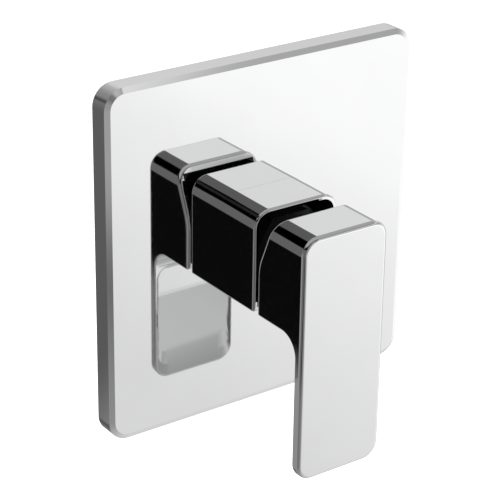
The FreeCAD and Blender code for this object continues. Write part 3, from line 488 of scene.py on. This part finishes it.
def cast_brass(name, finish, black):
    """Brass with a sand-cast skin, and near black painted shade without metal between two corners."""
    material, tree, shader = node_material(name)
    place = place_texture(tree)
    stain = noise(tree, place, STAIN)
    mask = inside_box(tree, place, *black)
    tone = tree.nodes.new("ShaderNodeMix")
    tone.data_type = "RGBA"
    tone.inputs["B"].default_value = (*finish.painted_shade_black, 1.0)
    tree.links.new(mask, tone.inputs["Factor"])
    tree.links.new(shades(tree, stain, finish.brass, BRASS_SHARES), tone.inputs["A"])
    tree.links.new(tone.outputs["Result"], shader.inputs["Base Color"])
    tree.links.new(combine(tree, "SUBTRACT", 1.0, mask), shader.inputs["Metallic"])
    tree.links.new(spread(tree, stain, *CAST), shader.inputs["Roughness"])
    relief(tree, shader, noise(tree, place, SAND), *SAND_RELIEF)
    return material


def steel_finish(name, finish):
    """Zinc-plated steel with a fine drawn grain."""
    material, tree, shader = node_material(name)
    place = place_texture(tree)
    grain = noise(tree, place, DRAWN)
    tree.links.new(shades(tree, grain, finish.steel, STEEL_SHARES), shader.inputs["Base Color"])
    tree.links.new(spread(tree, grain, *PLATED), shader.inputs["Roughness"])
    shader.inputs["Metallic"].default_value = 1.0
    return material


def moulded_finish(name, tone, roughness, texture=MOULD, height=MOULD_RELIEF):
    """Moulded plastic or rubber with a fine spark-eroded grain."""
    material, tree, shader = node_material(name)
    place = place_texture(tree)
    tree.links.new(shades(tree, noise(tree, place, FLOW), tone, MOULD_SHARES), shader.inputs["Base Color"])
    grain = noise(tree, place, texture)
    tree.links.new(spread(tree, grain, *roughness), shader.inputs["Roughness"])
    relief(tree, shader, grain, *height)
    return material


def foam_finish(name, tone):
    """Closed-cell foam: small round cells of uneven size."""
    material, tree, shader = node_material(name)
    place = place_texture(tree)
    cells = tree.nodes.new("ShaderNodeTexVoronoi")
    cells.inputs["Scale"].default_value = FOAM_CELLS
    tree.links.new(place, cells.inputs["Vector"])
    tree.links.new(shades(tree, cells.outputs["Distance"], tone, FOAM_SHARES), shader.inputs["Base Color"])
    shader.inputs["Roughness"].default_value = FOAM_ROUGHNESS
    relief(tree, shader, cells.outputs["Distance"], *CELL_RELIEF)
    return material


def wear(material, *names):
    """Give CAD nodes a finish."""
    for name in names:
        dress(NODES[name], material)


def dress(piece, material):
    """Put one material on a whole piece."""
    if not piece.material_slots:
        piece.data.materials.append(material)
    for slot in piece.material_slots:
        slot.material = material


def select_only(piece):
    """Make one object active and the only one selected."""
    bpy.ops.object.select_all(action="DESELECT")
    piece.select_set(True)
    bpy.context.view_layer.objects.active = piece


def settle(piece):
    """Put a piece's place into its mesh."""
    select_only(piece)
    bpy.ops.object.transform_apply(location=True, rotation=True, scale=True)


def apply_modifier(piece, kind, **settings):
    """Add a modifier with its settings and apply it."""
    modifier = piece.modifiers.new(kind.lower(), kind)
    for name, value in settings.items():
        setattr(modifier, name, value)
    select_only(piece)
    bpy.ops.object.modifier_apply(modifier=modifier.name)


def smooth_copy(node, material, shell):
    """A merged copy with smooth curves and flat faces that stands for a CAD node."""
    select_only(NODES[node])
    bpy.ops.object.duplicate()
    piece = bpy.context.object
    body = piece["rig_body"]
    bpy.ops.object.parent_clear(type="CLEAR_KEEP_TRANSFORM")
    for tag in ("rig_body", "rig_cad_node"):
        del piece[tag]
    piece.name = f"{node}_smooth"
    bpy.ops.object.mode_set(mode="EDIT")
    bpy.ops.mesh.select_all(action="SELECT")
    bpy.ops.mesh.remove_doubles(threshold=shell.merge)
    bpy.ops.mesh.customdata_custom_splitnormals_clear()
    bpy.ops.object.mode_set(mode="OBJECT")
    bpy.ops.object.shade_smooth_by_angle(angle=shell.crease)
    apply_modifier(piece, "WEIGHTED_NORMAL", keep_sharp=True, weight=LARGE_FACE_WEIGHT)
    dress(piece, material)
    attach(piece, body)
    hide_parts(node)
    return piece


def soften_dish(mesh, low, high):
    """Turn the normals of the hollow in the paddle's back gently from its bed to its rim."""
    straight = Vector((0.0, 1.0, 0.0))
    deep = [vertex.co.y < (low + high) / 2 for vertex in mesh.vertices]
    hollow = []
    turned = {}
    for face in mesh.polygons:
        within = all(low < mesh.vertices[index].co.y < high for index in face.vertices)
        if face.normal.y < FACING_SHARE or not within:
            continue
        hollow.append(face)
        if face.normal.angle(straight) > FLAT:
            for index in face.vertices:
                turned[index] = turned.get(index, Vector()) + face.normal * face.area
    for index, slope in turned.items():
        slope.normalize()
        if deep[index]:
            gentle = slope.angle(straight) < GENTLE
            turned[index] = straight.lerp(slope, EARLY_SHARE) if gentle else straight
    normals = [corner.vector.copy() for corner in mesh.corner_normals]
    for face in hollow:
        level = face.normal.angle(straight) < FLAT
        for loop, index in zip(face.loop_indices, face.vertices):
            on_rim = level and not deep[index]
            normals[loop] = straight if on_rim else turned.get(index, straight)
    mesh.normals_split_custom_set(normals)


def shrunk(box, sides, front, back, rise=None):
    """A box made smaller at its sides, its top and bottom and its front, and longer at its back."""
    low, high = box
    rise = sides if rise is None else rise
    return (low + Vector((sides, front, rise)), high + Vector((-sides, back, -rise)))


class MIXER_OT_chrome_trim(Operator):
    """Plate the trim plate, the handle sleeve and the lever, and paint near black shade in the sleeve's and
    the lever's hollows
    """

    bl_idname = "mixer.chrome_trim"
    bl_label = "Chrome trim"

    def execute(self, context):
        finish = context.scene.mixer_finish
        shell = context.scene.mixer_shell
        margin = shell.margin
        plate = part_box("trim_plate")
        rim, corner = shell.plate_rim - margin, shell.plate_corner
        wide = shrunk(plate, rim, shell.plate_skin, margin, corner)
        tall = shrunk(plate, corner, shell.plate_skin, margin, rim)
        smooth_copy("trim_plate", chrome_finish("chrome_plate", finish, finish.dull_back, wide, tall), shell)
        # The sleeve's and the lever's hollows get near black painted shade inside these boxes
        low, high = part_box("handle_sleeve")
        wall = shell.sleeve_flange + shell.sleeve_wall - margin
        tube = shrunk((low, high), wall, shell.sleeve_lip, margin)
        smooth_copy("handle_sleeve", chrome_finish("chrome_sleeve", finish, finish.painted_shade_inside, tube), shell)
        lever_low, lever_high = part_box("lever")
        block_low = Vector((lever_low.x, lever_low.y, low.z + shell.sleeve_flange))
        block = shrunk((block_low, lever_high), shell.lever_wall - margin, shell.lever_web, -margin)
        lever = smooth_copy("lever", chrome_finish("chrome_lever", finish, finish.painted_shade_inside, block), shell)
        paddle_back = lever_low.y + shell.paddle_depth
        dish_bed = paddle_back - shell.dish_depth
        soften_dish(lever.data, dish_bed - margin, paddle_back + margin)
        return {"FINISHED"}


class MIXER_OT_wall_body(Operator):
    """Finish the brass casting, its plug, the nut and the plastic round them, with near black painted shade
    on the nut and the casting's front
    """

    bl_idname = "mixer.wall_body"
    bl_label = "Wall body"

    def execute(self, context):
        finish = context.scene.mixer_finish
        shell = context.scene.mixer_shell
        low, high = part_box("valve_body")
        # Near black painted shade on the casting's front, from its end back to the plate
        barrel_low = Vector((low.x, low.y - shell.margin, low.z))
        barrel = (barrel_low, Vector((high.x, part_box("trim_plate")[1].y, high.z)))
        smooth_copy("valve_body", cast_brass("cast_brass", finish, barrel), shell)
        smooth_copy("outlet_plug", turned_brass("turned_brass", finish), shell)
        # The cartridge nut is coloured near black as painted shade in the gap
        wear(moulded_finish("painted_shade_nut", finish.painted_shade_black, SATIN), "cartridge_nut")
        wear(moulded_finish("seal_rubber", finish.rubber, MATT), "plug_washer", "base_seals")
        wear(moulded_finish("carrier_plastic", finish.dark_plastic, DULL), "plate_carrier")
        return {"FINISHED"}


class MIXER_OT_cartridge(Operator):
    """Finish the plastic, ceramic and steel of the cartridge"""

    bl_idname = "mixer.cartridge"
    bl_label = "Cartridge"

    def execute(self, context):
        finish = context.scene.mixer_finish
        wear(moulded_finish("base_plastic", finish.pale_plastic, SATIN), "cartridge_base", "disc_carrier")
        guide = moulded_finish("guide_plastic", finish.dark_plastic, SMOOTH)
        # The lever insert wears this dark plastic as painted shade in the lever's hollow
        wear(guide, "cartridge_housing", "stem_guide", "lever_insert")
        ceramic = moulded_finish("disc_ceramic", finish.ceramic, GLAZED, GLAZE, GLAZE_RELIEF)
        wear(ceramic, "fixed_disc", "moving_disc")
        wear(steel_finish("stem_steel", finish), "lever_stem", "stem_pin")
        return {"FINISHED"}


class MIXER_OT_fasteners(Operator):
    """Finish the screws and the cap on the lever"""

    bl_idname = "mixer.fasteners"
    bl_label = "Fasteners"

    def execute(self, context):
        finish = context.scene.mixer_finish
        wear(steel_finish("screw_steel", finish), "carrier_screws", "sleeve_screws", "grub_screw")
        wear(moulded_finish("cap_plastic", finish.cap, GLOSSY), "screw_cap")
        return {"FINISHED"}


class MIXER_OT_gasket(Operator):
    """Model the foam gasket over its plain solid"""

    bl_idname = "mixer.gasket"
    bl_label = "Foam gasket"

    def execute(self, context):
        gasket = context.scene.mixer_gasket
        piece = self.strip(gasket, *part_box("plate_gasket"))
        piece.name = "foam_gasket"
        dress(piece, foam_finish("gasket_foam", context.scene.mixer_finish.foam))
        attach(piece, BODIES["plate_gasket"])
        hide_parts("plate_gasket")
        return {"FINISHED"}

    def strip(self, gasket, low, high):
        """A frame-shaped strip with round corners and soft edges."""
        middle = (low + high) / 2
        size = high - low
        bpy.ops.mesh.primitive_plane_add(size=1.0, location=(middle.x, high.y, middle.z))
        piece = bpy.context.object
        piece.rotation_euler = (QUARTER_TURN, 0.0, 0.0)
        piece.scale = (size.x, size.z, 1.0)
        settle(piece)
        bpy.ops.object.mode_set(mode="EDIT")
        bpy.ops.mesh.select_all(action="SELECT")
        bpy.ops.mesh.bevel(
            offset=gasket.corner, segments=gasket.corner_steps, affect="VERTICES", clamp_overlap=False
        )
        bpy.ops.mesh.select_all(action="SELECT")
        bpy.ops.mesh.inset(thickness=gasket.width)
        bpy.ops.mesh.delete(type="FACE")
        bpy.ops.mesh.select_all(action="SELECT")
        bpy.ops.mesh.extrude_region_move(TRANSFORM_OT_translate={"value": (0.0, -size.y, 0.0)})
        bpy.ops.mesh.select_all(action="SELECT")
        bpy.ops.mesh.normals_make_consistent(inside=False)
        bpy.ops.object.mode_set(mode="OBJECT")
        bpy.ops.object.shade_smooth_by_angle(angle=gasket.crease)
        apply_modifier(
            piece, "BEVEL", width=gasket.rounding, segments=gasket.rounding_steps, limit_method="ANGLE"
        )
        return piece


class MIXER_OT_port_threads(Operator):
    """Model the pipe threads in the open ports"""

    bl_idname = "mixer.port_threads"
    bl_label = "Port threads"

    def execute(self, context):
        thread = context.scene.mixer_thread
        finish = turned_brass("thread_brass", context.scene.mixer_finish)
        for name in ("hot_inlet", "cold_inlet", "shower_outlet"):
            piece = self.ridge(thread, MOUNTS[name])
            piece.name = f"thread_{name}"
            dress(piece, finish)
            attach(piece, BODIES["valve_body"])
        return {"FINISHED"}

    def ridge(self, thread, mount):
        """One helical ridge, turned about Z and then put into its port."""
        radius = mount["dims"]["r_mm"] * MILLIMETRE
        turns = int(mount["dims"]["length_mm"] * MILLIMETRE / thread.pitch) - 1
        foot = thread.pitch * thread.foot_share
        height = thread.depth + thread.root
        bpy.ops.mesh.primitive_plane_add(size=1.0)
        piece = bpy.context.object
        bpy.ops.object.mode_set(mode="EDIT")
        bpy.ops.mesh.select_all(action="SELECT")
        bpy.ops.mesh.delete(type="ONLY_FACE")
        bpy.ops.mesh.select_all(action="SELECT")
        bpy.ops.transform.rotate(value=QUARTER_TURN, orient_axis="X", center_override=(0.0, 0.0, 0.0))
        bpy.ops.transform.resize(value=(height, 1.0, foot), center_override=(0.0, 0.0, 0.0))
        bpy.ops.object.mode_set(mode="OBJECT")
        inner = [vertex for vertex in piece.data.vertices if vertex.co.x < 0]
        for vertex in inner:
            vertex.co.z *= thread.crest_share
        middle = radius + thread.root - height / 2
        piece.location = (middle, 0.0, -turns * thread.pitch / 2)
        settle(piece)
        apply_modifier(
            piece, "SCREW", axis="Z", angle=math.tau, screw_offset=thread.pitch, iterations=turns,
            steps=thread.steps, render_steps=thread.steps,
        )
        bpy.ops.object.mode_set(mode="EDIT")
        bpy.ops.mesh.select_all(action="SELECT")
        bpy.ops.mesh.remove_doubles(threshold=thread.merge)
        bpy.ops.mesh.fill_holes(sides=4)
        bpy.ops.mesh.select_all(action="SELECT")
        bpy.ops.mesh.normals_make_consistent(inside=False)
        bpy.ops.object.mode_set(mode="OBJECT")
        bpy.ops.object.shade_smooth_by_angle(angle=thread.crease)
        piece.rotation_euler = Vector(mount["axis"]).to_track_quat("Z", "Y").to_euler()
        piece.location = mount["pos_m"]
        settle(piece)
        return piece


class MIXER_OT_stage(Operator):
    """Set up the camera, the floor, the light tent and the lamps"""

    bl_idname = "mixer.stage"
    bl_label = "Stage"

    def execute(self, context):
        stage = context.scene.mixer_stage
        self.camera(context, stage)
        self.world(context, stage)
        self.floor(stage)
        self.tent(stage)
        self.lamps(stage)
        context.scene.view_settings.view_transform = "Standard"
        return {"FINISHED"}

    def camera(self, context, stage):
        """A camera where the photo was taken from."""
        yaw, pitch, roll = stage.camera_yaw, stage.camera_pitch, stage.camera_roll
        ahead = Vector((math.sin(yaw) * math.cos(pitch), math.cos(yaw) * math.cos(pitch), -math.sin(pitch)))
        level = Vector((math.cos(yaw), -math.sin(yaw), 0.0))
        above = level.cross(ahead)
        right = level * math.cos(roll) + above * math.sin(roll)
        up = above * math.cos(roll) - level * math.sin(roll)
        bpy.ops.object.camera_add()
        camera = context.object
        camera.name = "photo_camera"
        camera.matrix_world = Matrix.LocRotScale(
            Vector(stage.camera_place), Matrix((right, up, -ahead)).transposed(), None
        )
        camera.data.lens = stage.focal_length
        camera.data.clip_end = stage.sight
        context.scene.camera = camera

    def world(self, context, stage):
        """White to the eye and in mirrors, and an even soft light on everything else."""
        world = bpy.data.worlds.new("studio")
        world.use_nodes = True
        context.scene.world = world
        tree = world.node_tree
        background = tree.nodes["Background"]
        background.inputs["Color"].default_value = (1.0, 1.0, 1.0, 1.0)
        seen = seen_directly(tree)
        tree.links.new(mixed(tree, seen, stage.ambient, 1.0), background.inputs["Strength"])

    def floor(self, stage):
        """A pale floor below the mixer that keeps its shadow."""
        bpy.ops.mesh.primitive_circle_add(
            vertices=stage.floor_steps, radius=stage.floor_radius, fill_type="NGON",
            location=(0.0, 0.0, -stage.floor_drop),
        )
        floor = bpy.context.object
        floor.name = "floor"
        material, tree, shader = node_material("floor_paper")
        shader.inputs["Base Color"].default_value = (*stage.floor_tone, 1.0)
        shader.inputs["Roughness"].default_value = stage.floor_roughness
        shader.inputs["Specular IOR Level"].default_value = 0.0
        seen = seen_directly(tree)
        shader.inputs["Emission Color"].default_value = (1.0, 1.0, 1.0, 1.0)
        tree.links.new(combine(tree, "MULTIPLY", seen, stage.floor_glow), shader.inputs["Emission Strength"])
        floor.data.materials.append(material)
        floor.visible_glossy = False

    def tent(self, stage):
        """A large tent, light on the right and dark on the left, that only mirrors see."""
        bpy.ops.mesh.primitive_ico_sphere_add(subdivisions=stage.tent_steps, radius=stage.tent_radius)
        tent = bpy.context.object
        tent.name = "light_tent"
        bpy.ops.object.shade_smooth()
        material = bpy.data.materials.new("tent_cloth")
        material.use_nodes = True
        tree = material.node_tree
        tree.nodes.remove(tree.nodes["Principled BSDF"])
        glow = tree.nodes.new("ShaderNodeEmission")
        tree.links.new(glow.outputs["Emission"], tree.nodes["Material Output"].inputs["Surface"])
        tree.links.new(tent_tone(tree), glow.inputs["Color"])
        tent.data.materials.append(material)
        tent.visible_camera = False
        tent.visible_diffuse = False
        tent.visible_shadow = False

    def lamps(self, stage):
        """Large soft lamps above, at the front right and behind at the left."""
        for name, place, size, power_share in LAMPS:
            bpy.ops.object.light_add(type="AREA", location=place)
            lamp = bpy.context.object
            lamp.name = name
            lamp.data.size = size
            lamp.data.energy = stage.lamp_power * power_share
            lamp.rotation_euler = (-Vector(place)).to_track_quat("-Z", "Y").to_euler()
            lamp.visible_glossy = False


OPERATORS = (
    MIXER_OT_chrome_trim,
    MIXER_OT_wall_body,
    MIXER_OT_cartridge,
    MIXER_OT_fasteners,
    MIXER_OT_gasket,
    MIXER_OT_port_threads,
    MIXER_OT_stage,
)


class MIXER_PT_sidebar(Panel):
    """Lists the mixer's operators and sizes"""

    bl_label = "Shower mixer"
    bl_space_type = "VIEW_3D"
    bl_region_type = "UI"
    bl_category = "Mixer"

    def draw(self, context):
        for operator in OPERATORS:
            self.layout.operator(operator.bl_idname)
        for group in GROUPS:
            settings = getattr(context.scene, group)
            for name in settings.__annotations__:
                self.layout.prop(settings, name)


GROUPS = {
    "mixer_finish": MixerFinish,
    "mixer_shell": MixerShell,
    "mixer_thread": MixerThread,
    "mixer_gasket": MixerGasket,
    "mixer_stage": MixerStage,
}


def register():
    """Make the settings, the operators and the panel known to Blender."""
    for name, group in GROUPS.items():
        bpy.utils.register_class(group)
        setattr(bpy.types.Scene, name, PointerProperty(type=group))
    for operator in OPERATORS:
        bpy.utils.register_class(operator)
    bpy.utils.register_class(MIXER_PT_sidebar)


def unregister():
    """Take them out again."""
    bpy.utils.unregister_class(MIXER_PT_sidebar)
    for operator in reversed(OPERATORS):
        bpy.utils.unregister_class(operator)
    for name, group in GROUPS.items():
        delattr(bpy.types.Scene, name)
        bpy.utils.unregister_class(group)


def main():
    """Build everything in order."""
    register()
    bpy.ops.mixer.chrome_trim()
    bpy.ops.mixer.wall_body()
    bpy.ops.mixer.cartridge()
    bpy.ops.mixer.fasteners()
    bpy.ops.mixer.gasket()
    bpy.ops.mixer.port_threads()
    bpy.ops.mixer.stage()


if __name__ == "__main__":
    main()
